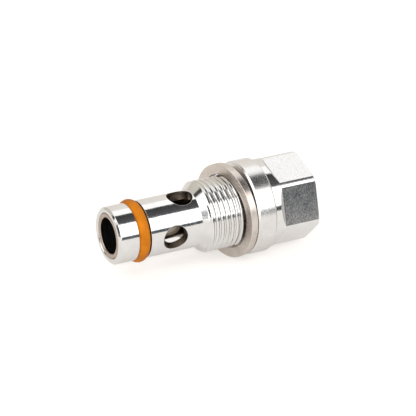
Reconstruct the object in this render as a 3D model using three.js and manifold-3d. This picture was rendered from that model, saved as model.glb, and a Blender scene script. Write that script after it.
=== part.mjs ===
// Screw-in cartridge valve: a spring-loaded poppet in a ported nose, a threaded body and a hexagon head.
// Millimetres, +X along the valve axis from the nose towards the head, +Z up, origin at the centre of the
// collar's seat face. Angles round the axis start at the front (-Y) and rise towards +Z.
import * as THREE from 'three';
import { mergeVertices } from 'three/addons/utils/BufferGeometryUtils.js';
import Module from 'manifold-3d';

const wasm = await Module();
wasm.setup();

// ---- Driving dimensions ------------------------------------------------------------------------------

const SEGMENTS = 40;
const INNER_SEGMENTS = 24;
const GAP = 0.25;

const NOSE_END = -39.4;
const NOSE_RADIUS = 8;
const NOSE_CHAMFER = 0.5;
const RING_GROOVE = { start: NOSE_END + 5.85, end: NOSE_END + 9.5, radius: 6.1 };
const NOSE_RING = { mean: 7.48, section: 1.31, halfWidth: 1.6 };

const SEAT_POCKET = { end: NOSE_END + 2.1, radius: 6.35 };
const CHAMBER = { end: NOSE_END + 5, radius: 5.95 };
const FLOW_BORE = 5.5;

const PORT_RADIUS = 3.6;
const PORT_PAIRS = [
  { station: NOSE_END + 21.3, angle: 82.75 },
  { station: NOSE_END + 16.8, angle: -7.25 },
];

const SHOULDER = { start: NOSE_END + 25.05 };
const THREAD = { end: -3, crest: 10, depth: 0.55, pitch: 1.5, root: NOSE_END + 27.9, rootAngle: 35 };
const NECK_RADIUS = 9.2;
const COLLAR = { radius: 13.1, length: 5.85, seatRadius: 11.9, rearChamfer: 0.28 };
const COLLAR_RELIEF = { radius: 12.7, depth: 0.3, edge: 0.85 };

const BUSH_BORE = { start: NOSE_END + 27.1, end: NOSE_END + 36, radius: 6.55 };
const CLIP_GROOVE = { start: NOSE_END + 33.9, end: NOSE_END + 35.05, radius: 7.15 };
const SPIGOT = { start: BUSH_BORE.end + 0.4, radius: 7 };
const CAP_RING_POCKET = { start: COLLAR.length - 1.65, radius: 8.4 };

const CAP = { start: COLLAR.length + 0.05, end: NOSE_END + 59.1, radius: 12.3, chamfer: 0.3 };
const HEXAGON = { start: NOSE_END + 48.5, acrossFlats: 22, angle: 14.2 };
const SPRING_BORE = { end: CAP.end - 6.1, radius: 5.3 };
const LOCK_RECESS = { start: CAP.end - 2.7, radius: 6.6 };
const LOCK = { start: LOCK_RECESS.start + 0.2, thickness: 2, slotWidth: 1.6, slotDepth: 1 };
const SCREW = { start: CAP.end - 5.9, end: CAP.end - 0.8, radius: 4, socketFlats: 4, socketDepth: 2.5 };

const SEAT_BORE = 5.07;
const POPPET = { radius: 5.35, headStart: NOSE_END + 3.2, headEnd: NOSE_END + 3.85 };
const WAIST = { radius: 3.2, length: 4 };
const SEAL = { start: NOSE_END + 0.35, bossRadius: 4.8, corner: 0.2 };
const STEM = { radius: 4.23, clearance: 0.05, end: NOSE_END + 35.7 };
const TAIL = { end: NOSE_END + 38.7, radius: 2.5, grooveRadius: 1.9, grooveWidth: 0.8 };

const BUSH = { start: BUSH_BORE.start + 0.2, end: CLIP_GROOVE.start - 0.2, radius: BUSH_BORE.radius - GAP };
const BUSH_GROOVE = { start: BUSH.start + 0.8, end: BUSH.start + 2.3, radius: 5.3 };
const STEM_SEAL_POCKET = { start: BUSH.end - 2.8, radius: 5.65 };

const FRONT_PLATE = { start: STEM.end + 0.05, end: STEM.end + 1.55, radius: 4.95 };
const STEM_CLIP = { start: FRONT_PLATE.end + 0.15, inner: 2, outer: 3.25, thickness: 0.6, gap: 90 };
const REAR_PLATE = { start: NOSE_END + 49, end: NOSE_END + 52.2, radius: 5.2, boss: 3.2, bossLength: 1.5 };
const PLATE_GROOVE = { start: REAR_PLATE.start + 0.8, end: REAR_PLATE.start + 2.4, radius: 3.95 };
const BALL = { radius: 1.5, pocket: 1.55, pocketDepth: 1 };
const SPRING = { mean: 4.1, wire: 0.65, turns: 5.5, closedShare: 0.16 };

const WASHER = { inner: 10.3, outer: 13.25, thickness: 2.1, tilt: 8.6, chamfer: 0.2 };
const WASHER_CONTACT = { x: -0.02, y: -COLLAR.seatRadius, offset: 0.39 };

const SNAP_RING = { inner: 4.9, outer: 7, thickness: 0.95, gap: 40 };
const CAP_RING = { mean: 7.68, section: 0.6 };
const BUSH_RING = { mean: 5.92, section: 0.5 };
const STEM_RING = { mean: 4.95, section: 0.6 };
const PLATE_RING = { mean: 4.58, section: 0.58 };
const BACKUP = { inner: 4.35, outer: 5.5, start: BUSH.end - 1.4, end: BUSH.end - 0.3 };

// ---- Geometry helpers --------------------------------------------------------------------------------

function welded(geometry) {
  const bare = geometry.clone();
  bare.deleteAttribute('normal');
  bare.deleteAttribute('uv');
  const merged = mergeVertices(bare, 1e-4);
  const index = merged.index.array;
  const kept = [];
  for (let i = 0; i < index.length; i += 3) {
    const [a, b, c] = [index[i], index[i + 1], index[i + 2]];
    if (a !== b && b !== c && c !== a) kept.push(a, b, c);
  }
  merged.setIndex(signedVolume(merged, kept) < 0 ? kept.reverse() : kept);
  return merged;
}

function signedVolume(geometry, triangles) {
  const [a, b, c] = [new THREE.Vector3(), new THREE.Vector3(), new THREE.Vector3()];
  let total = 0;
  for (let i = 0; i < triangles.length; i += 3) {
    a.fromBufferAttribute(geometry.attributes.position, triangles[i]);
    b.fromBufferAttribute(geometry.attributes.position, triangles[i + 1]);
    c.fromBufferAttribute(geometry.attributes.position, triangles[i + 2]);
    total += a.dot(b.cross(c)) / 6;
  }
  return total;
}

function solid(geometry) {
  const mesh = welded(geometry);
  return new wasm.Manifold(new wasm.Mesh({
    numProp: 3,
    vertProperties: new Float32Array(mesh.attributes.position.array),
    triVerts: new Uint32Array(mesh.index.array),
  }));
}

function geometryOf(manifold) {
  const mesh = manifold.getMesh();
  const geometry = new THREE.BufferGeometry();
  geometry.setAttribute('position', new THREE.BufferAttribute(new Float32Array(mesh.vertProperties), 3));
  geometry.setIndex(Array.from(mesh.triVerts));
  return geometry;
}

// A solid of revolution about X from [radius, station] points.
function turned(points, segments = SEGMENTS) {
  const outline = points.map(([radius, station]) => new THREE.Vector2(radius, station));
  return new THREE.LatheGeometry(outline, segments).rotateZ(-Math.PI / 2);
}

function closedTurned(points, segments) {
  return turned([...points, points[0]], segments);
}

function ring(inner, outer, start, end, chamfer = 0, segments = INNER_SEGMENTS) {
  const outerEdge = chamfer > 0
    ? [[outer - chamfer, start], [outer, start + chamfer], [outer, end - chamfer], [outer - chamfer, end]]
    : [[outer, start], [outer, end]];
  return closedTurned([[inner, start], ...outerEdge, [inner, end]], segments);
}

function disc(radius, start, end, segments = INNER_SEGMENTS) {
  return turned([[0, start], [radius, start], [radius, end], [0, end]], segments);
}

// A hexagonal bar along X, which may taper from one size across flats to another.
function hexagonBar(startFlats, endFlats, start, end) {
  const toCorner = 1 / 2 / Math.cos(Math.PI / 6);
  const length = end - start;
  return new THREE.CylinderGeometry(endFlats * toCorner, startFlats * toCorner, length, 6)
    .rotateZ(-Math.PI / 2)
    .translate(start + length / 2, 0, 0);
}

function turnUp(geometry, degrees) {
  return geometry.rotateX(-THREE.MathUtils.degToRad(degrees));
}

function oRing({ mean, section }, station, around = INNER_SEGMENTS, across = 8) {
  return new THREE.TorusGeometry(mean, section, across, around)
    .rotateY(Math.PI / 2)
    .translate(station, 0, 0);
}

// An open snap ring: an arc of flat stock that leaves out the stated gap.
function snapRing({ inner, outer, thickness, gap }, start, segments) {
  const half = THREE.MathUtils.degToRad(gap / 2);
  const shape = new THREE.Shape();
  shape.absarc(0, 0, outer, half, 2 * Math.PI - half, false);
  shape.absarc(0, 0, inner, 2 * Math.PI - half, half, true);
  shape.closePath();
  const options = { depth: thickness, bevelEnabled: false, curveSegments: segments };
  return new THREE.ExtrudeGeometry(shape, options)
    .rotateY(Math.PI / 2)
    .translate(start, 0, 0);
}

// ---- Body --------------------------------------------------------------------------------------------

// The helix, with broad crests, run out on the shoulder's 45 degree cone.
function threadRadius(station, turn) {
  const phase = (station - THREAD.root) / THREAD.pitch - turn;
  const toRoot = Math.abs(phase - Math.round(phase)) * 2;
  const cone = NOSE_RADIUS + station - SHOULDER.start;
  return Math.min(cone, THREAD.crest - THREAD.depth * Math.max(0, 1 - 2 * toRoot));
}

// Cuts the helix into the plain rows between the shoulder and the neck.
function threaded(geometry) {
  const position = geometry.attributes.position;
  const rootTurn = (180 - THREAD.rootAngle) / 360;
  for (let i = 0; i < position.count; i++) {
    const [x, y, z] = [position.getX(i), position.getY(i), position.getZ(i)];
    const radius = Math.hypot(y, z);
    const inThread = x > SHOULDER.start - 1e-3 && x < THREAD.end + 1e-3;
    if (!inThread || radius < THREAD.crest - 1e-3) continue;
    const turn = Math.atan2(z, y) / (2 * Math.PI) - rootTurn;
    const scale = threadRadius(x, turn) / radius;
    position.setXYZ(i, x, y * scale, z * scale);
  }
  return geometry;
}

function threadRows() {
  const step = THREAD.pitch / 4;
  const length = THREAD.end - SHOULDER.start;
  const count = Math.round(length / step);
  const rows = [];
  for (let i = 0; i <= count; i++) rows.push([THREAD.crest, SHOULDER.start + length * i / count]);
  return rows;
}

function valveBody() {
  const outside = [
    [NOSE_RADIUS - NOSE_CHAMFER, NOSE_END],
    [NOSE_RADIUS, NOSE_END + NOSE_CHAMFER],
    [NOSE_RADIUS, RING_GROOVE.start],
    [RING_GROOVE.radius, RING_GROOVE.start],
    [RING_GROOVE.radius, RING_GROOVE.end],
    [NOSE_RADIUS, RING_GROOVE.end],
    ...threadRows(),
    [NECK_RADIUS, THREAD.end + 0.35],
    [NECK_RADIUS, 0],
    [COLLAR.seatRadius, 0],
    [COLLAR_RELIEF.radius, COLLAR_RELIEF.depth],
    [COLLAR.radius, COLLAR_RELIEF.edge],
    [COLLAR.radius, COLLAR.length - COLLAR.rearChamfer],
    [COLLAR.radius - COLLAR.rearChamfer, COLLAR.length],
  ];
  const inside = [
    [CAP_RING_POCKET.radius, COLLAR.length],
    [CAP_RING_POCKET.radius, CAP_RING_POCKET.start],
    [SPIGOT.radius + GAP, CAP_RING_POCKET.start],
    [SPIGOT.radius + GAP, BUSH_BORE.end],
    [BUSH_BORE.radius, BUSH_BORE.end],
    [BUSH_BORE.radius, CLIP_GROOVE.end],
    [CLIP_GROOVE.radius, CLIP_GROOVE.end],
    [CLIP_GROOVE.radius, CLIP_GROOVE.start],
    [BUSH_BORE.radius, CLIP_GROOVE.start],
    [BUSH_BORE.radius, BUSH_BORE.start],
    [FLOW_BORE, BUSH_BORE.start],
    [FLOW_BORE, CHAMBER.end + CHAMBER.radius - FLOW_BORE],
    [CHAMBER.radius, CHAMBER.end],
    [CHAMBER.radius, SEAT_POCKET.end],
    [SEAT_POCKET.radius, SEAT_POCKET.end],
    [SEAT_POCKET.radius, NOSE_END],
  ];
  const blank = solid(threaded(closedTurned([...outside, ...inside], SEGMENTS)));
  return geometryOf(PORT_PAIRS.reduce((body, pair) => body.subtract(portDrill(pair)), blank));
}

// One drill goes right through, so it makes the two ports of a pair.
function portDrill({ station, angle }) {
  const length = 4 * NOSE_RADIUS;
  const drill = new THREE.CylinderGeometry(PORT_RADIUS, PORT_RADIUS, length, 24).rotateX(Math.PI / 2);
  return solid(turnUp(drill.rotateX(Math.PI / 2), angle).translate(station, 0, 0));
}

// ---- Head --------------------------------------------------------------------------------------------

function headCap() {
  const blank = solid(closedTurned([
    [SPIGOT.radius - CAP.chamfer, SPIGOT.start],
    [SPIGOT.radius, SPIGOT.start + CAP.chamfer],
    [SPIGOT.radius, CAP.start],
    [CAP.radius - CAP.chamfer, CAP.start],
    [CAP.radius, CAP.start + CAP.chamfer],
    [CAP.radius, CAP.end - CAP.chamfer],
    [CAP.radius - CAP.chamfer, CAP.end],
    [LOCK_RECESS.radius, CAP.end],
    [LOCK_RECESS.radius, LOCK_RECESS.start],
    [SCREW.radius + GAP, LOCK_RECESS.start],
    [SCREW.radius + GAP, SPRING_BORE.end],
    [SPRING_BORE.radius, SPRING_BORE.end],
    [SPRING_BORE.radius, SPIGOT.start],
  ], SEGMENTS));
  // The flats run out at 45 degrees into the round band.
  const rampLength = CAP.radius + 0.2 - HEXAGON.acrossFlats / 2;
  const rampStart = HEXAGON.start - rampLength;
  const rampFlats = HEXAGON.acrossFlats + 2 * rampLength;
  const flats = hexagonBar(HEXAGON.acrossFlats, HEXAGON.acrossFlats, HEXAGON.start, CAP.end + 1);
  const ramps = hexagonBar(rampFlats, HEXAGON.acrossFlats, rampStart, HEXAGON.start);
  const roundPart = disc(CAP.radius + 1, SPIGOT.start - 1, rampStart);
  const hexagon = solid(turnUp(flats, HEXAGON.angle)).add(solid(turnUp(ramps, HEXAGON.angle)));
  return geometryOf(blank.intersect(hexagon.add(solid(roundPart))));
}

function lockRing() {
  const end = LOCK.start + LOCK.thickness;
  const blank = solid(ring(SCREW.radius + GAP, LOCK_RECESS.radius - GAP, LOCK.start, end, 0.2));
  const slot = new THREE.BoxGeometry(2 * LOCK.slotDepth, 3 * LOCK_RECESS.radius, LOCK.slotWidth)
    .translate(end, 0, 0);
  return geometryOf(blank.subtract(solid(turnUp(slot, HEXAGON.angle))));
}

function adjustingScrew() {
  const chamfer = 0.35;
  const pocketEnd = SCREW.start + BALL.pocketDepth + 0.1;
  const blank = solid(turned([
    [0, pocketEnd],
    [BALL.pocket, pocketEnd],
    [BALL.pocket, SCREW.start],
    [SCREW.radius - chamfer, SCREW.start],
    [SCREW.radius, SCREW.start + chamfer],
    [SCREW.radius, SCREW.end - chamfer],
    [SCREW.radius - chamfer, SCREW.end],
    [0, SCREW.end],
  ], INNER_SEGMENTS));
  const socketStart = SCREW.end - SCREW.socketDepth;
  const socket = solid(hexagonBar(SCREW.socketFlats, SCREW.socketFlats, socketStart, SCREW.end + 1));
  return geometryOf(blank.subtract(socket));
}

function thrustBall() {
  const centre = REAR_PLATE.end - BALL.pocketDepth + BALL.pocket;
  return new THREE.SphereGeometry(BALL.radius, 12, 8).rotateZ(Math.PI / 2).translate(centre, 0, 0);
}

// ---- Nose seals and seat -----------------------------------------------------------------------------

// The ring lies a little flattened across its groove.
function noseORing() {
  const { section, halfWidth } = NOSE_RING;
  return oRing(NOSE_RING, 0, SEGMENTS, 12)
    .scale(halfWidth / section, 1, 1)
    .translate(RING_GROOVE.end - halfWidth - 0.3, 0, 0);
}

function seatRing() {
  const front = NOSE_END + 0.1;
  const back = SEAT_POCKET.end - 0.1;
  const outer = SEAT_POCKET.radius - GAP;
  return closedTurned([
    [SEAT_BORE, front + 0.2],
    [SEAT_BORE + 0.2, front],
    [outer - 0.15, front],
    [outer, front + 0.15],
    [outer, back],
    [SEAT_BORE + 0.4, back],
    [SEAT_BORE, back - 0.2],
  ], SEGMENTS);
}

function sealingWasher() {
  const { inner, outer, chamfer } = WASHER;
  const half = WASHER.thickness / 2;
  const flat = closedTurned([
    [inner + chamfer, -half],
    [outer - chamfer, -half],
    [outer, -half + chamfer],
    [outer, half - chamfer],
    [outer - chamfer, half],
    [inner + chamfer, half],
    [inner, half - chamfer],
    [inner, -half + chamfer],
  ], SEGMENTS);
  return flat
    .translate(-half, WASHER_CONTACT.offset - WASHER_CONTACT.y, 0)
    .rotateZ(THREE.MathUtils.degToRad(WASHER.tilt))
    .translate(WASHER_CONTACT.x, WASHER_CONTACT.y, 0);
}

// ---- Poppet and its guide ----------------------------------------------------------------------------

function poppet() {
  const chamfer = 0.3;
  const waistEnd = POPPET.headEnd + WAIST.length;
  const grooveStart = STEM_CLIP.start - (TAIL.grooveWidth - STEM_CLIP.thickness) / 2;
  const grooveEnd = grooveStart + TAIL.grooveWidth;
  return turned([
    [0, POPPET.headStart],
    [POPPET.radius, POPPET.headStart],
    [POPPET.radius, POPPET.headEnd],
    [WAIST.radius, POPPET.headEnd],
    [WAIST.radius, waistEnd],
    [STEM.radius, waistEnd + STEM.radius - WAIST.radius],
    [STEM.radius, STEM.end - chamfer],
    [STEM.radius - chamfer, STEM.end],
    [TAIL.radius, STEM.end],
    [TAIL.radius, grooveStart],
    [TAIL.grooveRadius, grooveStart],
    [TAIL.grooveRadius, grooveEnd],
    [TAIL.radius, grooveEnd],
    [TAIL.radius, TAIL.end],
    [0, TAIL.end],
  ], INNER_SEGMENTS);
}

function poppetSeal() {
  const back = POPPET.headStart - 0.02;
  return turned([
    [0, SEAL.start],
    [SEAL.bossRadius - SEAL.corner, SEAL.start],
    [SEAL.bossRadius, SEAL.start + SEAL.corner],
    [SEAL.bossRadius, SEAT_POCKET.end],
    [POPPET.radius, SEAT_POCKET.end],
    [POPPET.radius, back],
    [0, back],
  ], INNER_SEGMENTS);
}

function guideBush() {
  const bore = STEM.radius + STEM.clearance;
  return closedTurned([
    [bore, BUSH.start],
    [BUSH.radius, BUSH.start],
    [BUSH.radius, BUSH_GROOVE.start],
    [BUSH_GROOVE.radius, BUSH_GROOVE.start],
    [BUSH_GROOVE.radius, BUSH_GROOVE.end],
    [BUSH.radius, BUSH_GROOVE.end],
    [BUSH.radius, BUSH.end],
    [STEM_SEAL_POCKET.radius, BUSH.end],
    [STEM_SEAL_POCKET.radius, STEM_SEAL_POCKET.start],
    [bore, STEM_SEAL_POCKET.start],
  ], INNER_SEGMENTS);
}

function backupRing() {
  return ring(BACKUP.inner, BACKUP.outer, BACKUP.start, BACKUP.end);
}

function frontPlate() {
  return ring(TAIL.radius + STEM.clearance, FRONT_PLATE.radius, FRONT_PLATE.start, FRONT_PLATE.end, 0.2);
}

function rearPlate() {
  const bossStart = REAR_PLATE.start - REAR_PLATE.bossLength;
  const pocketStart = REAR_PLATE.end - BALL.pocketDepth;
  return turned([
    [0, bossStart],
    [REAR_PLATE.boss, bossStart],
    [REAR_PLATE.boss, REAR_PLATE.start],
    [REAR_PLATE.radius, REAR_PLATE.start],
    [REAR_PLATE.radius, PLATE_GROOVE.start],
    [PLATE_GROOVE.radius, PLATE_GROOVE.start],
    [PLATE_GROOVE.radius, PLATE_GROOVE.end],
    [REAR_PLATE.radius, PLATE_GROOVE.end],
    [REAR_PLATE.radius, REAR_PLATE.end],
    [BALL.pocket, REAR_PLATE.end],
    [BALL.pocket, pocketStart],
    [0, pocketStart],
  ], INNER_SEGMENTS);
}

// ---- Spring ------------------------------------------------------------------------------------------

class SpringLine extends THREE.Curve {
  constructor(start, end) {
    super();
    this.start = start;
    this.end = end;
  }

  // The end coils close up, and the ones between them are evenly spaced.
  getPoint(t, target = new THREE.Vector3()) {
    const closed = SPRING.closedShare;
    const endRise = 2 * SPRING.wire * closed * SPRING.turns;
    const length = this.end - this.start;
    const middle = THREE.MathUtils.clamp((t - closed) / (1 - 2 * closed), 0, 1);
    const firstCoil = Math.min(t, closed) / closed;
    const lastCoil = Math.max(t - 1 + closed, 0) / closed;
    const rise = endRise * (firstCoil + lastCoil) + (length - 2 * endRise) * middle;
    const angle = 2 * Math.PI * SPRING.turns * t;
    return target.set(this.start + rise, SPRING.mean * Math.cos(angle), SPRING.mean * Math.sin(angle));
  }
}

function valveSpring() {
  const start = FRONT_PLATE.end + SPRING.wire + 0.02;
  const end = REAR_PLATE.start - SPRING.wire - 0.02;
  const section = new THREE.Shape().absarc(0, 0, SPRING.wire, 0, 2 * Math.PI, false);
  return new THREE.ExtrudeGeometry(section, {
    steps: 72,
    curveSegments: 3,
    extrudePath: new SpringLine(start, end),
  });
}

// ---- Scene graph -------------------------------------------------------------------------------------

const plated = { color: 0xdcdad6, roughness: 0.16, metalness: 1 };
const steel = { color: 0xb9b7b2, roughness: 0.3, metalness: 1 };
const springSteel = { color: 0x8e8d8a, roughness: 0.35, metalness: 1 };
const washerMetal = { color: 0xb7ad9f, roughness: 0.42, metalness: 1 };
const bronze = { color: 0xb08a4e, roughness: 0.35, metalness: 1 };
const orangeRubber = { color: 0xd9740f, roughness: 0.5, metalness: 0 };
const blackRubber = { color: 0x111111, roughness: 0.45, metalness: 0 };
const whitePlastic = { color: 0xe8e6df, roughness: 0.5, metalness: 0 };

const group = new THREE.Group();

function add(name, geometry, look) {
  const mesh = new THREE.Mesh(welded(geometry), new THREE.MeshStandardMaterial(look));
  mesh.name = name;
  group.add(mesh);
}

const middle = (span) => (span.start + span.end) / 2;
const stemRingStation = (STEM_SEAL_POCKET.start + BACKUP.start) / 2;
const capRingStation = (CAP_RING_POCKET.start + COLLAR.length) / 2;
const snapRingStart = CLIP_GROOVE.start + (CLIP_GROOVE.end - CLIP_GROOVE.start - SNAP_RING.thickness) / 2;

add('valve_body', valveBody(), plated);
add('seat_ring', seatRing(), washerMetal);
add('nose_o_ring', noseORing(), orangeRubber);
add('sealing_washer', sealingWasher(), washerMetal);
add('head_cap', headCap(), plated);
add('cap_o_ring', oRing(CAP_RING, capRingStation), blackRubber);
add('guide_bush', guideBush(), bronze);
add('bush_o_ring', oRing(BUSH_RING, middle(BUSH_GROOVE)), blackRubber);
add('stem_o_ring', oRing(STEM_RING, stemRingStation), blackRubber);
add('backup_ring', backupRing(), whitePlastic);
add('bush_retaining_ring', snapRing(SNAP_RING, snapRingStart, 14), springSteel);
add('poppet', poppet(), steel);
add('poppet_seal', poppetSeal(), blackRubber);
add('front_spring_plate', frontPlate(), steel);
add('stem_clip', snapRing(STEM_CLIP, STEM_CLIP.start, 10), springSteel);
add('valve_spring', valveSpring(), springSteel);
add('rear_spring_plate', rearPlate(), steel);
add('plate_o_ring', oRing(PLATE_RING, middle(PLATE_GROOVE)), blackRubber);
add('thrust_ball', thrustBall(), steel);
add('adjusting_screw', adjustingScrew(), steel);
add('lock_ring', lockRing(), steel);

export default group;
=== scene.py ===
"""Screw-in cartridge valve: fine visible pieces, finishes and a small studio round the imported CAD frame.

Sizes are in millimetres along the valve axis (+X from nose to head) until a mesh is made, then metres.
Angles round the axis are in degrees from the front (-Y), rising towards +Z.
"""
import math

import bmesh
import bpy
import numpy as np
from mathutils import Matrix, Vector


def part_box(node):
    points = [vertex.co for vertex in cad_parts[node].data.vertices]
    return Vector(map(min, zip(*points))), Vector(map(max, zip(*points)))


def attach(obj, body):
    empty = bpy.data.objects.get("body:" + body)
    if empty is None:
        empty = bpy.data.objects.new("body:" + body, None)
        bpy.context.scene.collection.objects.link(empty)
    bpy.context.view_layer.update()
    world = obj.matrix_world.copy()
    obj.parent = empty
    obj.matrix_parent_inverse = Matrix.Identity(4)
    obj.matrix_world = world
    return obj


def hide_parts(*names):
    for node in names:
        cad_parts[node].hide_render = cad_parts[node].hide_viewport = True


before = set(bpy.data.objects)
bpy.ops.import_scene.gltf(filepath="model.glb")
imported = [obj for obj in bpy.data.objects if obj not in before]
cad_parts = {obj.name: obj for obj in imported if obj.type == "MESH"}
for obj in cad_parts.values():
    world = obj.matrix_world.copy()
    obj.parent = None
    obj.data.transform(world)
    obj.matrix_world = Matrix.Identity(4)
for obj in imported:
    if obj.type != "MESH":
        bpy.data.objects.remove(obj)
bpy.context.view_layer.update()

MM = 0.001


def low(node):
    return np.array(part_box(node)[0]) / MM


def high(node):
    return np.array(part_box(node)[1]) / MM


# ---- Driving dimensions ----------------------------------------------------------------------------

NOSE_END = low("valve_body")[0]
HEAD_END = high("head_cap")[0]
FLOOR_LEVEL = low("sealing_washer")[2] - 0.05

NOSE_RADIUS = 8.0
NOSE_CHAMFER = 0.5
GROOVE_START = NOSE_END + 5.85
GROOVE_END = NOSE_END + 9.5
GROOVE_RADIUS = 6.1
RING_SECTION = 1.31
SEAT_POCKET_END = NOSE_END + 2.1
SEAT_POCKET_RADIUS = 6.35
POCKET_EDGE = 0.25
POCKET_DEPTH = 0.6
CHAMBER_END = NOSE_END + 5.0
CHAMBER_RADIUS = 5.95
FLOW_BORE = 5.5
SEAT_BORE = 5.07

PORT_RADIUS = 3.6
PORT_RIM = 0.09
FRONT_PORTS = NOSE_END + 16.8
TOP_PORTS = NOSE_END + 21.3
PORT_ANGLE = -7.25
QUARTER = 90.0
QUARTER_STEPS = 48
ZONE_START = NOSE_END + 11.8
ZONE_STEPS = 40

SHOULDER = NOSE_END + 25.05
THREAD_CREST = 10.0
THREAD_DEPTH = 0.55
THREAD_PITCH = 1.5
THREAD_ROOT = NOSE_END + 27.9
THREAD_ROOT_ANGLE = 35.0
THREAD_END = -3.0
NECK_START = -2.65
NECK_RADIUS = 9.2

COLLAR_RADIUS = 13.1
COLLAR_LENGTH = 5.85
SEAT_FACE_RADIUS = 11.9
RELIEF_RADIUS = 12.7
RELIEF_DEPTH = 0.3
COLLAR_EDGE = 0.85
COLLAR_REAR_CHAMFER = 0.28
BUSH_BORE = 6.55
BUSH_BORE_START = NOSE_END + 27.1
BUSH_BORE_END = NOSE_END + 36.0
CLIP_GROOVE_START = NOSE_END + 33.9
CLIP_GROOVE_END = NOSE_END + 35.05
CLIP_GROOVE_RADIUS = 7.15
SPIGOT_RADIUS = 7.0
SPIGOT_START = BUSH_BORE_END + 0.4
CLEARANCE = 0.25
CAP_RING_RADIUS = 8.4
CAP_RING_START = COLLAR_LENGTH - 1.65

CAP_START = COLLAR_LENGTH + 0.05
CAP_RADIUS = 12.3
CAP_CHAMFER = 0.3
FLAT_DISTANCE = 11.0
FLAT_START = NOSE_END + 48.5
FLAT_ANGLE = 14.2
SPRING_BORE = 5.3
SPRING_BORE_END = HEAD_END - 6.1
RECESS_RADIUS = 6.6
RECESS_START = HEAD_END - 2.7
SCREW_RADIUS = 4.0
SCREW_START = low("adjusting_screw")[0]
SCREW_END = high("adjusting_screw")[0]
SOCKET_FLATS = 4.0
SOCKET_DEPTH = 2.5
BALL_POCKET = 1.55
BALL_POCKET_DEPTH = 1.1
LOCK_START = low("lock_ring")[0]
LOCK_END = high("lock_ring")[0]
SLOT_WIDTH = 1.6
SLOT_DEPTH = 1.0

WASHER_INNER = 10.3
WASHER_OUTER = 13.25
WASHER_THICKNESS = 2.1
WASHER_TILT = 8.6

STEM_RADIUS = 4.23
EDGE = 0.1
CHAMFER_RISE = 1.19
SEAT_RING_FIT = 0.02
PATCH_SIZE = 4.0
LATHE_MARKS = 5200
KEY_STRENGTH = 2.4
KEY_SPREAD = 9
KEY_PLACE = (-0.4, -0.8, 0.45)
CAMERA_LENS = 302.9
CAMERA_PLACE = (-0.4058, -0.7748, 0.4100)
CAMERA_PITCH = 64.884
CAMERA_HEADING = -27.13


# ---- Profiles and shells ---------------------------------------------------------------------------

def softened(points, size=EDGE, closed=False, steps=5):
    """The profile with its corners rounded, and a point close beside each so that flats stay flat."""
    points = [np.array(p, float) for p in points]
    count = len(points)
    out = []
    for i, corner in enumerate(points):
        if not closed and i in (0, count - 1):
            out.append(corner)
            continue
        sides = [points[i - 1] - corner, points[(i + 1) % count] - corner]
        lengths = [np.linalg.norm(side) for side in sides]
        reach = min(size, 0.4 * lengths[0], 0.4 * lengths[1])
        start, end = [side / length * reach for side, length in zip(sides, lengths)]
        guard = 1.2
        out.append(corner + start * guard)
        for t in np.linspace(0, 1, steps):
            out.append(corner + start * (1 - t) ** 2 + end * t ** 2)
        out.append(corner + end * guard)
    if closed:
        out.append(out[0])
    return np.array(out)


def around(count, first=0.0):
    return first + np.arange(count) * 360.0 / count


def placed(stations, radii, angles):
    """Points from stations, radii and angles that broadcast to rows by columns."""
    turn = np.radians(angles)
    stations, radii, turn = np.broadcast_arrays(stations, radii, turn)
    return np.stack([stations, -radii * np.cos(turn), radii * np.sin(turn)], axis=-1)


def revolved(profile, angles):
    profile = np.asarray(profile, float)
    return placed(profile[:, :1], profile[:, 1:], np.asarray(angles)[None, :])


class Shell:
    """Gathers sheets of quads, then welds them into one mesh."""

    def __init__(self):
        self.points = []
        self.faces = []
        self.slots = []

    def add(self, rows, wrap=True, slot=0):
        count, across = rows.shape[:2]
        first = len(self.points)
        self.points.extend(rows.reshape(-1, 3) * MM)
        last = across if wrap else across - 1
        for i in range(count - 1):
            for j in range(last):
                k = (j + 1) % across
                quad = (i * across + j, i * across + k, (i + 1) * across + k, (i + 1) * across + j)
                self.faces.append([first + v for v in quad])
                self.slots.append(slot(i, j) if callable(slot) else slot)
        return self

    def piece(self, name, crease=38.0):
        mesh = bpy.data.meshes.new(name)
        mesh.from_pydata([tuple(p) for p in self.points], [], self.faces)
        mesh.polygons.foreach_set("material_index", self.slots)
        bm = bmesh.new()
        bm.from_mesh(mesh)
        bmesh.ops.remove_doubles(bm, verts=bm.verts, dist=0.002 * MM)
        bmesh.ops.dissolve_degenerate(bm, dist=0.0005 * MM, edges=bm.edges)
        loose = [v for v in bm.verts if not v.link_faces]
        bmesh.ops.delete(bm, geom=loose, context="VERTS")
        bmesh.ops.recalc_face_normals(bm, faces=bm.faces)
        bm.to_mesh(mesh)
        bm.free()
        return linked(name, mesh, crease)


def linked(name, mesh, crease):
    mesh.shade_smooth()
    mesh.set_sharp_from_angle(angle=math.radians(crease))
    piece = bpy.data.objects.new(name, mesh)
    bpy.context.scene.collection.objects.link(piece)
    return piece


def turned_piece(name, profile, size=EDGE, closed=True, count=160):
    rows = revolved(softened(profile, size, closed), around(count))
    return Shell().add(rows).piece(name)


def cut(piece, cutter):
    """Takes the cutter out of the piece, for good."""
    modifier = piece.modifiers.new("cut", "BOOLEAN")
    modifier.operation = "DIFFERENCE"
    modifier.solver = "EXACT"
    modifier.object = cutter
    bpy.context.view_layer.update()
    graph = bpy.context.evaluated_depsgraph_get()
    mesh = bpy.data.meshes.new_from_object(piece.evaluated_get(graph))
    piece.modifiers.clear()
    piece.data = mesh
    bpy.data.objects.remove(cutter)
    mesh.set_sharp_from_angle(angle=math.radians(30))
    return piece


# ---- Valve body ------------------------------------------------------------------------------------

BODY_ANGLES = around(4 * QUARTER_STEPS, PORT_ANGLE + QUARTER / 2)
# Body finish slots. The bored finish is darker and browner than the plate: partly the unplated bored steel,
# partly painted shade in the bores and port walls.
POLISHED, BORED_WITH_PAINTED_SHADE, SATIN = 0, 1, 2
SHEET_RINGS = 17


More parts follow.
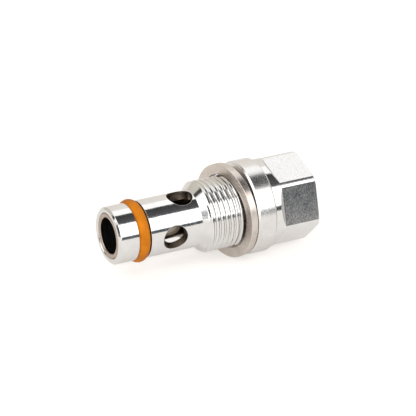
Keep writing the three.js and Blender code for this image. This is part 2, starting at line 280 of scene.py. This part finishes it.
def front_of_body():
    return softened([
        [ZONE_START, FLOW_BORE],
        [CHAMBER_END + CHAMBER_RADIUS - FLOW_BORE, FLOW_BORE],
        [CHAMBER_END, CHAMBER_RADIUS],
        [SEAT_POCKET_END, CHAMBER_RADIUS],
        [SEAT_POCKET_END, SEAT_POCKET_RADIUS],
        [NOSE_END + POCKET_EDGE, SEAT_POCKET_RADIUS],
        [NOSE_END, SEAT_POCKET_RADIUS + POCKET_EDGE],
        [NOSE_END, NOSE_RADIUS - NOSE_CHAMFER * CHAMFER_RISE],
        [NOSE_END + NOSE_CHAMFER, NOSE_RADIUS],
        [GROOVE_START, NOSE_RADIUS],
        [GROOVE_START, GROOVE_RADIUS],
        [GROOVE_END, GROOVE_RADIUS],
        [GROOVE_END, NOSE_RADIUS],
        [ZONE_START, NOSE_RADIUS],
    ], 0.08)


def rear_of_body():
    return softened([
        [NECK_START, NECK_RADIUS],
        [0, NECK_RADIUS],
        [0, SEAT_FACE_RADIUS],
        [RELIEF_DEPTH, RELIEF_RADIUS],
        [COLLAR_EDGE, COLLAR_RADIUS],
        [COLLAR_LENGTH - COLLAR_REAR_CHAMFER, COLLAR_RADIUS],
        [COLLAR_LENGTH, COLLAR_RADIUS - COLLAR_REAR_CHAMFER],
        [COLLAR_LENGTH, CAP_RING_RADIUS],
        [CAP_RING_START, CAP_RING_RADIUS],
        [CAP_RING_START, SPIGOT_RADIUS + CLEARANCE],
        [BUSH_BORE_END, SPIGOT_RADIUS + CLEARANCE],
        [BUSH_BORE_END, BUSH_BORE],
        [CLIP_GROOVE_END, BUSH_BORE],
        [CLIP_GROOVE_END, CLIP_GROOVE_RADIUS],
        [CLIP_GROOVE_START, CLIP_GROOVE_RADIUS],
        [CLIP_GROOVE_START, BUSH_BORE],
        [BUSH_BORE_START, BUSH_BORE],
        [BUSH_BORE_START, FLOW_BORE],
        [SHOULDER, FLOW_BORE],
    ], 0.12)


def thread_rows():
    """Rows that follow the helix, run out on the shoulder's cone and on a steep cone at the neck."""
    pitch, root = THREAD_PITCH, THREAD_CREST - THREAD_DEPTH
    one_turn = softened([
        [0, root],
        [pitch * 0.1, root],
        [pitch * 0.4, THREAD_CREST],
        [pitch * 0.6, THREAD_CREST],
        [pitch * 0.9, root],
        [pitch, root],
    ], 0.09)[:-1]
    turns = math.ceil((NECK_START - SHOULDER) / pitch) + 3
    stations = np.concatenate([one_turn[:, 0] + pitch * n for n in range(-2, turns)])
    radii = np.tile(one_turn[:, 1], turns + 2)
    angles = np.append(BODY_ANGLES, BODY_ANGLES[0] + 360)
    lead = pitch * (THREAD_ROOT_ANGLE - angles) / 360
    stations = THREAD_ROOT + stations[:, None] + lead[None, :]
    stations = np.clip(stations, SHOULDER, NECK_START)
    shoulder_cone = NOSE_RADIUS + stations - SHOULDER
    steepness = (THREAD_CREST - NECK_RADIUS) / (NECK_START - THREAD_END)
    neck_cone = NECK_RADIUS + (NECK_START - stations) * steepness
    radii = np.minimum(radii[:, None], np.minimum(shoulder_cone, neck_cone))
    return placed(stations, radii, angles[None, :])


def zone_edge():
    """The outline of one quarter of the ported tube, as stations and angles from its middle."""
    half = QUARTER / 2
    spread = np.linspace(-half, half, QUARTER_STEPS + 1)
    stations = np.linspace(ZONE_START, SHOULDER, ZONE_STEPS + 1)
    sides = [
        np.stack([np.full(QUARTER_STEPS, ZONE_START), spread[:-1]], axis=1),
        np.stack([stations[:-1], np.full(ZONE_STEPS, half)], axis=1),
        np.stack([np.full(QUARTER_STEPS, SHOULDER), spread[:0:-1]], axis=1),
        np.stack([stations[:0:-1], np.full(ZONE_STEPS, -half)], axis=1),
    ]
    return np.concatenate(sides)


def port_rows(station, angle):
    """Rings from the tube's outside, over the port's rim, down its wall and out along the bore."""
    edge = zone_edge()
    heading = np.arctan2(NOSE_RADIUS * np.radians(edge[:, 1]), edge[:, 0] - station)

    def ring(reach, depth, radius, outwards):
        offset = reach * np.sin(heading)
        height = np.sqrt(radius ** 2 - offset ** 2) - depth * outwards
        return np.stack([station + reach * np.cos(heading), offset, height], axis=1)

    def sheet(radius, outwards):
        """Rings on the tube from the zone's edge to the port's rim, then over the rounded rim."""
        rim = ring(PORT_RADIUS + PORT_RIM, 0, radius, outwards)
        rim_angle = np.degrees(np.arcsin(rim[:, 1] / radius))
        rings = []
        for t in np.linspace(0, 1, SHEET_RINGS):
            share = 1 - (1 - t) ** 1.8
            x = edge[:, 0] + (rim[:, 0] - edge[:, 0]) * share
            spread = np.radians(edge[:, 1] + (rim_angle - edge[:, 1]) * share)
            rings.append(np.stack([x, radius * np.sin(spread), radius * np.cos(spread)], axis=1))
        for turn in np.radians([18, 36, 54, 72, 90]):
            reach = PORT_RADIUS + PORT_RIM * (1 - math.sin(turn))
            rings.append(ring(reach, PORT_RIM * (1 - math.cos(turn)), radius, outwards))
        return rings

    outside = sheet(NOSE_RADIUS, 1)
    inside = sheet(FLOW_BORE, -1)[::-1]
    wall = [outside[-1] + (inside[0] - outside[-1]) * t for t in np.linspace(0, 1, 7)[1:-1]]
    local = np.array(outside + wall + inside)
    turn = math.radians(angle)
    out = np.array([0, -math.cos(turn), math.sin(turn)])
    side = np.array([0, math.sin(turn), math.cos(turn)])
    return local[..., :1] * np.array([1, 0, 0]) + local[..., 1:2] * side + local[..., 2:] * out


def valve_body():
    front, rear = front_of_body(), rear_of_body()
    nose_edge = int(np.argmin(front[:, 0] + 0.001 * front[:, 1]))
    collar_edge = int(np.argmax(rear[:, 0] + 0.001 * rear[:, 1]))

    # Past the pocket's polished wall the nose bores, and the rear bore behind the collar, take the darker
    # bored finish with painted shade.
    def front_finish(i, j):
        return BORED_WITH_PAINTED_SHADE if front[i, 0] > NOSE_END + POCKET_DEPTH and i < nose_edge else POLISHED

    def rear_finish(i, j):
        return BORED_WITH_PAINTED_SHADE if i >= collar_edge else SATIN

    shell = Shell()
    shell.add(revolved(front, BODY_ANGLES), slot=front_finish)
    for i in range(4):
        station = FRONT_PORTS if i % 2 == 0 else TOP_PORTS
        rows = port_rows(station, PORT_ANGLE + QUARTER * i)
        # The port walls and the bore behind them take the darker bored finish with painted shade.
        shell.add(rows, slot=lambda i, j: POLISHED if i < SHEET_RINGS + 1 else BORED_WITH_PAINTED_SHADE)
    shell.add(thread_rows(), wrap=False)
    shell.add(revolved(rear, BODY_ANGLES), slot=rear_finish)
    return shell.piece("body_fine")


# ---- Head ------------------------------------------------------------------------------------------

def blended_least(a, b, width):
    return np.minimum(a, b) - np.maximum(width - np.abs(a - b), 0) ** 2 / (4 * width)


def blended_most(a, b, width):
    return -blended_least(-a, -b, width)


def flat_spread():
    """Angles from a flat's middle over one sixth of the head, close together at the flat's edges."""
    edge = math.degrees(math.acos(FLAT_DISTANCE / CAP_RADIUS))
    near = edge + np.array([-0.4, -0.25, -0.12, 0, 0.12, 0.25, 0.4])
    half = np.concatenate([np.linspace(0, edge - 0.8, 9), near, [edge + 1.2, edge + 2.3]])
    return np.concatenate([-half[:0:-1], half, [30.0]])


def head_radius(stations, spread):
    ramp = blended_most(FLAT_START - stations, np.zeros_like(stations), 0.08)
    to_flat = (FLAT_DISTANCE + ramp) / np.cos(np.radians(spread))
    chamfer = CAP_RADIUS - CAP_CHAMFER + (HEAD_END - stations)
    return blended_least(blended_least(to_flat, CAP_RADIUS, 0.05), chamfer, 0.05)


def head_rows(spread):
    """Stations of the head's outside, which follow the upper edge of each flat's ramp."""
    fold = np.maximum(CAP_RADIUS * np.cos(np.radians(spread)) - FLAT_DISTANCE, 0)
    top = FLAT_START - fold
    close = np.array([-0.12, -0.07, -0.03, 0, 0.03, 0.07, 0.12])
    band_start = CAP_START + CAP_CHAMFER + 0.15
    rows = [band_start + (top - 0.15 - band_start) * t for t in np.linspace(0, 1, 5)]
    rows += [top + step for step in close]
    rows += [top + 0.15 + (FLAT_START - 0.3 - top) * t for t in np.linspace(0, 1, 5)]
    rows += [np.full_like(top, FLAT_START + step) for step in close]
    rows += [np.full_like(top, x) for x in np.linspace(FLAT_START + 0.3, HEAD_END - 0.5, 8)]
    rows += [np.full_like(top, HEAD_END - step) for step in (0.36, 0.3, 0.22, 0.16, EDGE)]
    return np.maximum.accumulate(np.array(rows), axis=0)


def head_cap():
    spread = np.tile(flat_spread(), 6)
    angles = FLAT_ANGLE + spread + 60 * np.repeat(np.arange(6), len(spread) // 6)
    stations = head_rows(spread)
    radii = head_radius(stations, spread[None, :])
    edge_turn = np.radians(np.linspace(15, 90, 5))[:, None]
    edge_stations = HEAD_END - EDGE + EDGE * np.sin(edge_turn) + 0 * spread[None, :]
    edge_radii = radii[-1:] - EDGE * (1 - np.cos(edge_turn))
    face_share = np.array([0.02, 0.3, 0.65, 0.97, 1.0])[:, None]
    face_inner = RECESS_RADIUS + EDGE * 1.2
    face_radii = edge_radii[-1:] + (face_inner - edge_radii[-1:]) * face_share
    face_stations = np.full_like(face_radii, HEAD_END)
    front = softened([
        [SPIGOT_START, SPRING_BORE],
        [SPIGOT_START, SPIGOT_RADIUS],
        [CAP_START, SPIGOT_RADIUS],
        [CAP_START, CAP_RADIUS - CAP_CHAMFER * CHAMFER_RISE],
        [CAP_START + CAP_CHAMFER, CAP_RADIUS],
        [CAP_START + CAP_CHAMFER + 0.15, CAP_RADIUS],
    ])
    inside = softened([
        [HEAD_END, face_inner],
        [HEAD_END, RECESS_RADIUS],
        [RECESS_START, RECESS_RADIUS],
        [RECESS_START, SCREW_RADIUS + CLEARANCE],
        [SPRING_BORE_END, SCREW_RADIUS + CLEARANCE],
        [SPRING_BORE_END, SPRING_BORE],
        [SPIGOT_START, SPRING_BORE],
    ])
    on_flat = np.cos(np.radians(spread)) * CAP_RADIUS > FLAT_DISTANCE

    def finish_of(i, j):
        on_flats = on_flat[j] and on_flat[(j + 1) % len(spread)]
        return 1 if on_flats and stations[i, j] > FLAT_START - 0.02 else 0

    shell = Shell()
    shell.add(revolved(front, angles))
    shell.add(placed(stations, radii, angles[None, :]), slot=finish_of)
    shell.add(placed(
        np.concatenate([stations[-1:], edge_stations, face_stations]),
        np.concatenate([radii[-1:], edge_radii, face_radii]),
        angles[None, :],
    ))
    shell.add(revolved(inside, angles))
    return shell.piece("head_fine", crease=50)


def hexagonal_cutter(flats, start, end):
    corners = around(6, FLAT_ANGLE + 30)
    reach = flats / 2 / math.cos(math.radians(30))
    rows = revolved([[start, 0], [start, reach], [end, reach], [end, 0]], corners)
    return Shell().add(rows).piece("cutter")


def adjusting_screw():
    chamfer = 0.35
    screw = turned_piece("adjuster_fine", [
        [SCREW_START + BALL_POCKET_DEPTH, 0],
        [SCREW_START + BALL_POCKET_DEPTH, BALL_POCKET],
        [SCREW_START, BALL_POCKET],
        [SCREW_START, SCREW_RADIUS - chamfer],
        [SCREW_START + chamfer, SCREW_RADIUS],
        [SCREW_END - chamfer, SCREW_RADIUS],
        [SCREW_END, SCREW_RADIUS - chamfer],
        [SCREW_END, 0],
    ], 0.05, closed=False, count=96)
    return cut(screw, hexagonal_cutter(SOCKET_FLATS, SCREW_END - SOCKET_DEPTH, SCREW_END + 1))


def lock_ring():
    ring = turned_piece("lock_fine", [
        [LOCK_START, SCREW_RADIUS + CLEARANCE],
        [LOCK_START, RECESS_RADIUS - CLEARANCE],
        [LOCK_END, RECESS_RADIUS - CLEARANCE],
        [LOCK_END, SCREW_RADIUS + CLEARANCE],
    ], 0.2, count=120)
    half, reach = SLOT_WIDTH / 2, 1.5 * RECESS_RADIUS
    corners = np.array([[-half, -reach], [half, -reach], [half, reach], [-half, reach]])
    turn = math.radians(FLAT_ANGLE)
    side = np.array([math.sin(turn), math.cos(turn)])
    out = np.array([-math.cos(turn), math.sin(turn)])
    plan = corners[:, :1] * side + corners[:, 1:] * out
    levels = [(LOCK_END - SLOT_DEPTH, 0), (LOCK_END - SLOT_DEPTH, 1), (LOCK_END + 1, 1), (LOCK_END + 1, 0)]
    rows = np.array([np.column_stack([np.full(4, x), plan * share]) for x, share in levels])
    return cut(ring, Shell().add(rows).piece("cutter"))


# ---- Rings, seat and poppet ------------------------------------------------------------------------

def nose_o_ring():
    lowest, highest = low("nose_o_ring"), high("nose_o_ring")
    half_width = (highest[0] - lowest[0]) / 2
    middle = (highest[0] + lowest[0]) / 2
    turn = np.linspace(0, 2 * math.pi, 49)
    across = middle + half_width * np.cos(turn)
    profile = np.column_stack([across, highest[2] - RING_SECTION + RING_SECTION * np.sin(turn)])
    return Shell().add(revolved(profile, around(200))).piece("nose_seal_fine")


def seat_ring():
    front, back = low("seat_ring")[0], high("seat_ring")[0]
    outer = SEAT_POCKET_RADIUS - SEAT_RING_FIT
    return turned_piece("seat_fine", [
        [front + 0.2, SEAT_BORE],
        [front, SEAT_BORE + 0.2],
        [front, outer - 0.15],
        [front + 0.15, outer],
        [back, outer],
        [back, SEAT_BORE + 0.4],
        [back - 0.2, SEAT_BORE],
    ], 0.06)


def poppet_seal():
    start, back = low("poppet_seal")[0], high("poppet_seal")[0]
    boss, rim = 4.8, high("poppet_seal")[2]
    return turned_piece("seal_fine", [
        [start, 0],
        [start, boss],
        [SEAT_POCKET_END, boss],
        [SEAT_POCKET_END, rim],
        [back, rim],
        [back, 0],
    ], 0.18, closed=False)


def poppet():
    start, end = low("poppet")[0], high("poppet")[0]
    head_end, waist, waist_end = start + 0.65, 3.2, start + 4.65
    stem_end, tail, groove = NOSE_END + 35.7, 2.5, 1.9
    groove_start = stem_end + 1.6
    return turned_piece("poppet_fine", [
        [start, 0],
        [start, high("poppet")[2]],
        [head_end, high("poppet")[2]],
        [head_end, waist],
        [waist_end, waist],
        [waist_end + STEM_RADIUS - waist, STEM_RADIUS],
        [stem_end, STEM_RADIUS],
        [stem_end, tail],
        [groove_start, tail],
        [groove_start, groove],
        [groove_start + 0.8, groove],
        [groove_start + 0.8, tail],
        [end, tail],
        [end, 0],
    ], closed=False)


def sealing_washer():
    half = WASHER_THICKNESS / 2
    washer = turned_piece("washer_fine", [
        [-half, WASHER_INNER],
        [-half, WASHER_OUTER],
        [half, WASHER_OUTER],
        [half, WASHER_INNER],
    ], 0.22)
    middle = (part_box("sealing_washer")[0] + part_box("sealing_washer")[1]) / 2
    washer.matrix_world = Matrix.Translation(middle) @ Matrix.Rotation(math.radians(WASHER_TILT), 4, "Z")
    return washer


# ---- Finishes --------------------------------------------------------------------------------------

class Finish:
    """A node material with one Principled shader, and short calls to add and join nodes."""

    def __init__(self, name, **constants):
        self.material = bpy.data.materials.new(name)
        self.material.use_nodes = True
        self.tree = self.material.node_tree
        self.shader = self.tree.nodes["Principled BSDF"]
        for socket, value in constants.items():
            self.shader.inputs[socket.replace("_", " ")].default_value = value
        self.place = self.tree.nodes.new("ShaderNodeTexCoord").outputs["Object"]

    def node(self, kind, settings=None, **inputs):
        node = self.tree.nodes.new("ShaderNode" + kind)
        for key, value in (settings or {}).items():
            setattr(node, key, value)
        for key, value in inputs.items():
            index = int(key[2:]) if key.startswith("in") and key[2:].isdigit() else key.replace("_", " ")
            self.put(value, node.inputs[index])
        return node

    def put(self, value, socket):
        if isinstance(value, bpy.types.NodeSocket):
            self.tree.links.new(value, socket)
        else:
            socket.default_value = value

    def math(self, operation, first, second=0.0):
        return self.node("Math", {"operation": operation}, in0=first, in1=second).outputs[0]

    def noise(self, scale, stretch=(1, 1, 1), detail=3.0):
        mapped = self.node("Mapping", Vector=self.place, Scale=stretch).outputs[0]
        return self.node("TexNoise", Vector=mapped, Scale=scale, Detail=detail).outputs["Fac"]

    def lathe_marks(self, scale, detail=2.0):
        """Fine rings: noise along the axis on cylinders, and along the radius on faces."""
        parts = self.node("SeparateXYZ", Vector=self.place).outputs
        across = self.math("SQRT", self.math("ADD", self.math("POWER", parts[1], 2.0),
                                             self.math("POWER", parts[2], 2.0)))
        along = self.math("ADD", parts[0], across)
        settings = {"noise_dimensions": "1D"}
        return self.node("TexNoise", settings, W=along, Scale=scale, Detail=detail).outputs["Fac"]

    def ranged(self, value, start, end, low_value=0.3, high_value=0.7):
        node = self.node("MapRange", in0=value, in1=low_value, in2=high_value, in3=start, in4=end)
        return node.outputs[0]

    def ramp(self, value, stops):
        node = self.node("ValToRGB", Fac=value)
        while len(node.color_ramp.elements) < len(stops):
            node.color_ramp.elements.new(0.5)
        for element, (position, colour) in zip(node.color_ramp.elements, stops):
            element.position = position
            element.color = (*colour, 1)
        return node.outputs["Color"]

    def bump(self, *layers):
        """Bump from (height, distance in millimetres) layers."""
        normal = None
        for height, distance in layers:
            node = self.node("Bump", Height=height, Distance=distance * MM, Strength=1.0)
            if normal is not None:
                self.tree.links.new(normal, node.inputs["Normal"])
            normal = node.outputs["Normal"]
        self.tree.links.new(normal, self.shader.inputs["Normal"])
        return self

    def vary(self, **inputs):
        for key, value in inputs.items():
            self.put(value, self.shader.inputs[key.replace("_", " ")])
        return self


def metal(name, dark, light, rough, rough_spread=0.03, ring_depth=0.0006, grain_depth=0.001,
          grain_size=0.35, speckle=0.0):
    """Turned metal: rubbed patches of colour and roughness, fine rings and a speckled grain."""
    finish = Finish(name, Metallic=1.0, Specular_Tint=(0.8, 0.79, 0.78, 1))
    patches = finish.noise(1 / (PATCH_SIZE * MM))
    grain = finish.noise(1 / (grain_size * MM), detail=2)
    rings = finish.lathe_marks(LATHE_MARKS)
    mottle = finish.math("ADD", finish.math("MULTIPLY", patches, 0.6), finish.math("MULTIPLY", grain, 0.4))
    colour = finish.ramp(mottle, [(0.36, dark), (0.64, light)])
    roughness = finish.math("ADD", finish.ranged(patches, rough, rough + rough_spread),
                            finish.ranged(grain, 0.0, rough_spread + speckle))
    finish.vary(Base_Color=colour, Roughness=roughness)
    return finish.bump((rings, ring_depth), (grain, grain_depth)).material


def milled(name, dark, light, rough):
    """The hexagon's flats: satin, with fine marks across each flat and a coarse speckle."""
    finish = Finish(name, Metallic=1.0)
    patches = finish.noise(300)
    marks = finish.noise(3400, stretch=(1.0, 0.45, 0.45), detail=2)
    grain = finish.noise(4200, detail=2)
    colour = finish.ramp(marks, [(0.34, dark), (0.66, light)])
    rough = finish.math("ADD", finish.ranged(patches, rough, rough + 0.03), finish.ranged(marks, 0.0, 0.06))
    return finish.vary(Base_Color=colour, Roughness=rough).bump((marks, 0.0012), (grain, 0.001)).material


def moulded(name, dark, light, rough, **constants):
    """Rubber or plastic: mottled colour, dusty roughness and a fine moulded grain."""
    finish = Finish(name, **constants)
    patches = finish.noise(330)
    grain = finish.noise(2600, detail=3)
    colour = finish.ramp(patches, [(0.3, dark), (0.7, light)])
    roughness = finish.math("ADD", finish.ranged(patches, rough, rough + 0.12), finish.ranged(grain, 0, 0.08))
    return finish.vary(Base_Color=colour, Roughness=roughness).bump((grain, 0.004), (patches, 0.01)).material


# ---- Studio ----------------------------------------------------------------------------------------

def environment():
    """Soft boxes and dark screens in bands round the X axis, in three zones along it.

    The angles and brightness were fitted to one viewpoint, so the polished metal shows its
    intended bands from the camera below, and others from elsewhere.
    """
    world = bpy.data.worlds.new("studio")
    bpy.context.scene.world = world
    world.use_nodes = True
    tree = world.node_tree
    links = tree.links.new
    background = tree.nodes["Background"]
    parts = tree.nodes.new("ShaderNodeSeparateXYZ")
    links(tree.nodes.new("ShaderNodeTexCoord").outputs["Generated"], parts.inputs[0])

    def number(operation, first, second=0.0):
        node = tree.nodes.new("ShaderNodeMath")
        node.operation = operation
        for socket, value in zip(node.inputs, (first, second)):
            if isinstance(value, bpy.types.NodeSocket):
                links(value, socket)
            else:
                socket.default_value = value
        return node.outputs[0]

    angle = number("ARCTAN2", parts.outputs[2], number("MULTIPLY", parts.outputs[1], -1.0))
    share = number("ADD", number("DIVIDE", angle, 2 * math.pi), 0.5)
    brightest = 3.0
    soft = 0.7

    def banded(bands):
        """Colours by angle round X, each (start, colour) band or (start, colour, colour at its end)."""
        stops = []
        for i, (start, *colours) in enumerate(bands):
            end = bands[i + 1][0] if i + 1 < len(bands) else 180
            stops.append((start + soft if i else start, colours[0]))
            stops.append((end - soft if end < 180 else end, colours[-1]))
        ramp = tree.nodes.new("ShaderNodeValToRGB")
        links(share, ramp.inputs[0])
        elements = ramp.color_ramp.elements
        while len(elements) < len(stops):
            elements.new(0.5)
        for element, (degrees, colour) in zip(elements, stops):
            element.position = degrees / 360 + 0.5
            element.color = (*[c / brightest for c in colour], 1)
        return ramp.outputs[0]

    table, wall = (1.36, 1.29, 1.22), (1.20, 1.15, 1.09)
    dim_wall = (0.88, 0.82, 0.73)
    front_box, top_box = (2.6, 2.6, 2.6), (1.62, 1.62, 1.62)
    screen, screen_low, gap = (0.05, 0.05, 0.048), (0.135, 0.135, 0.148), (0.097, 0.115, 0.127)
    beside = banded([(-180, wall, table), (-14, gap), (10.5, front_box), (60.5, screen_low, screen),
                     (102, top_box), (131, wall)])
    aslant = banded([(-180, dim_wall, table), (-12, front_box), (106, top_box), (122, screen),
                     (136, dim_wall)])
    beyond_nose = banded([(-180, dim_wall, table), (-28, screen), (15, wall), (20, screen_low), (98, wall),
                          (108, screen), (136, dim_wall)])

    def toward(start, end, below, above):
        """Changes from one colour to another along the X axis."""
        fade = tree.nodes.new("ShaderNodeMapRange")
        fade.interpolation_type = "SMOOTHSTEP"
        links(parts.outputs[0], fade.inputs[0])
        fade.inputs[1].default_value = start
        fade.inputs[2].default_value = end
        mix = tree.nodes.new("ShaderNodeMix")
        mix.data_type = "RGBA"
        links(fade.outputs[0], mix.inputs["Factor"])
        for colour, socket in ((below, mix.inputs[6]), (above, mix.inputs[7])):
            if isinstance(colour, bpy.types.NodeSocket):
                links(colour, socket)
            else:
                socket.default_value = (*[c / brightest for c in colour], 1)
        return mix.outputs[2]

    colour = toward(-0.15, -0.25, beside, aslant)
    colour = toward(-0.895, -0.91, colour, beyond_nose)
    colour = toward(0.7, 0.9, colour, (1.1, 1.08, 1.05))
    links(colour, background.inputs["Color"])
    background.inputs["Strength"].default_value = brightest


def floor():
    reach, depth = 0.9, 0.5
    level = FLOOR_LEVEL * MM
    mesh = bpy.data.meshes.new("floor")
    corners = [(-reach, -depth, level), (reach, -depth, level), (reach, reach, level), (-reach, reach, level)]
    mesh.from_pydata(corners, [], [(0, 1, 2, 3)])
    plane = bpy.data.objects.new("floor", mesh)
    bpy.context.scene.collection.objects.link(plane)
    finish = Finish("light_table", Roughness=0.9, Emission_Color=(1.0, 0.96, 0.92, 1), Emission_Strength=0.45)
    shade = finish.ramp(finish.noise(12), [(0.3, (0.41, 0.40, 0.39)), (0.7, (0.43, 0.42, 0.41))])
    finish.vary(Base_Color=shade)
    mesh.materials.append(finish.material)


def soft_light():
    """One soft key light from the front, which leaves the polished metal to the studio's reflections."""
    light = bpy.data.lights.new("key", "SUN")
    light.energy = KEY_STRENGTH
    light.angle = math.radians(KEY_SPREAD)
    lamp = bpy.data.objects.new("key", light)
    lamp.location = KEY_PLACE
    lamp.rotation_euler = (-lamp.location).to_track_quat("-Z", "Y").to_euler()
    lamp.visible_glossy = False
    bpy.context.scene.collection.objects.link(lamp)


def camera():
    data = bpy.data.cameras.new("camera")
    data.lens = CAMERA_LENS
    data.sensor_width = 36
    data.clip_end = 20
    eye = bpy.data.objects.new("camera", data)
    eye.location = CAMERA_PLACE
    eye.rotation_euler = (math.radians(CAMERA_PITCH), 0, math.radians(CAMERA_HEADING))
    bpy.context.scene.collection.objects.link(eye)
    bpy.context.scene.camera = eye


# ---- Putting it together ---------------------------------------------------------------------------

def dressed(piece, node, body, slot, *finishes):
    for finish in finishes:
        piece.data.materials.append(finish)
    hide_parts(node)
    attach(piece, body)


def carried_over(finish, *names):
    """Gives CAD nodes that stay their procedural finish."""
    for name in names:
        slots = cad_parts[name].material_slots
        for place in slots:
            place.material = finish


plate = metal("polished_plate", (0.60, 0.595, 0.585), (0.655, 0.65, 0.64), 0.04, 0.02, speckle=0.10)
satin = metal("satin_plate", (0.59, 0.58, 0.57), (0.65, 0.64, 0.625), 0.19, 0.03, speckle=0.05)
# Bored steel: the dark brownish colour is partly the real bored finish and partly painted shade for the
# recesses it covers.
bored = metal("bored_steel", (0.22, 0.19, 0.16), (0.40, 0.36, 0.31), 0.22, 0.08, ring_depth=0.004)
seat_metal = metal("seat_metal", (0.33, 0.275, 0.225), (0.42, 0.355, 0.30), 0.18, 0.06)
washer_finish = metal("washer_metal", (0.46, 0.41, 0.37), (0.58, 0.53, 0.49), 0.22, 0.08, ring_depth=0.003)
steel = metal("ground_steel", (0.40, 0.39, 0.38), (0.52, 0.51, 0.50), 0.18, 0.06)
# Poppet steel: the dark brownish colour is painted shade for the stem, which is seen inside the body through
# the ports.
stem_steel = metal("stem_steel", (0.18, 0.16, 0.14), (0.28, 0.25, 0.22), 0.16, 0.05)
spring_steel = metal("spring_steel", (0.28, 0.28, 0.28), (0.38, 0.38, 0.38), 0.26, 0.08)
bronze = metal("bronze", (0.42, 0.28, 0.13), (0.56, 0.39, 0.20), 0.22, 0.08)
flat = milled("milled_flat", (0.53, 0.525, 0.52), (0.62, 0.61, 0.60), 0.095)
orange = moulded("orange_rubber", (0.25, 0.072, 0.001), (0.37, 0.115, 0.002), 0.45, Specular_IOR_Level=0.12)
black = moulded("black_rubber", (0.001, 0.001, 0.001), (0.003, 0.003, 0.003), 0.45, Specular_IOR_Level=0.0)
white = moulded("white_plastic", (0.74, 0.73, 0.70), (0.80, 0.79, 0.76), 0.35)

dressed(valve_body(), "valve_body", "valve", "plated_steel", plate, bored, satin)
dressed(head_cap(), "head_cap", "valve", "plated_steel", plate, flat)
dressed(nose_o_ring(), "nose_o_ring", "valve", "orange_rubber", orange)
dressed(seat_ring(), "seat_ring", "valve", "washer_metal", seat_metal)
dressed(poppet_seal(), "poppet_seal", "poppet_assembly", "black_rubber", black)
dressed(poppet(), "poppet", "poppet_assembly", "plain_steel", stem_steel)
dressed(sealing_washer(), "sealing_washer", "sealing_washer", "washer_metal", washer_finish)
dressed(adjusting_screw(), "adjusting_screw", "adjusting_screw", "plain_steel", steel)
dressed(lock_ring(), "lock_ring", "lock_ring", "plain_steel", steel)
carried_over(bronze, "guide_bush")
carried_over(spring_steel, "bush_retaining_ring", "stem_clip", "valve_spring")
carried_over(steel, "front_spring_plate", "rear_spring_plate", "thrust_ball")
carried_over(black, "cap_o_ring", "bush_o_ring", "stem_o_ring", "plate_o_ring")
carried_over(white, "backup_ring")

environment()
floor()
soft_light()
camera()
bpy.context.scene.view_settings.view_transform = "Standard"
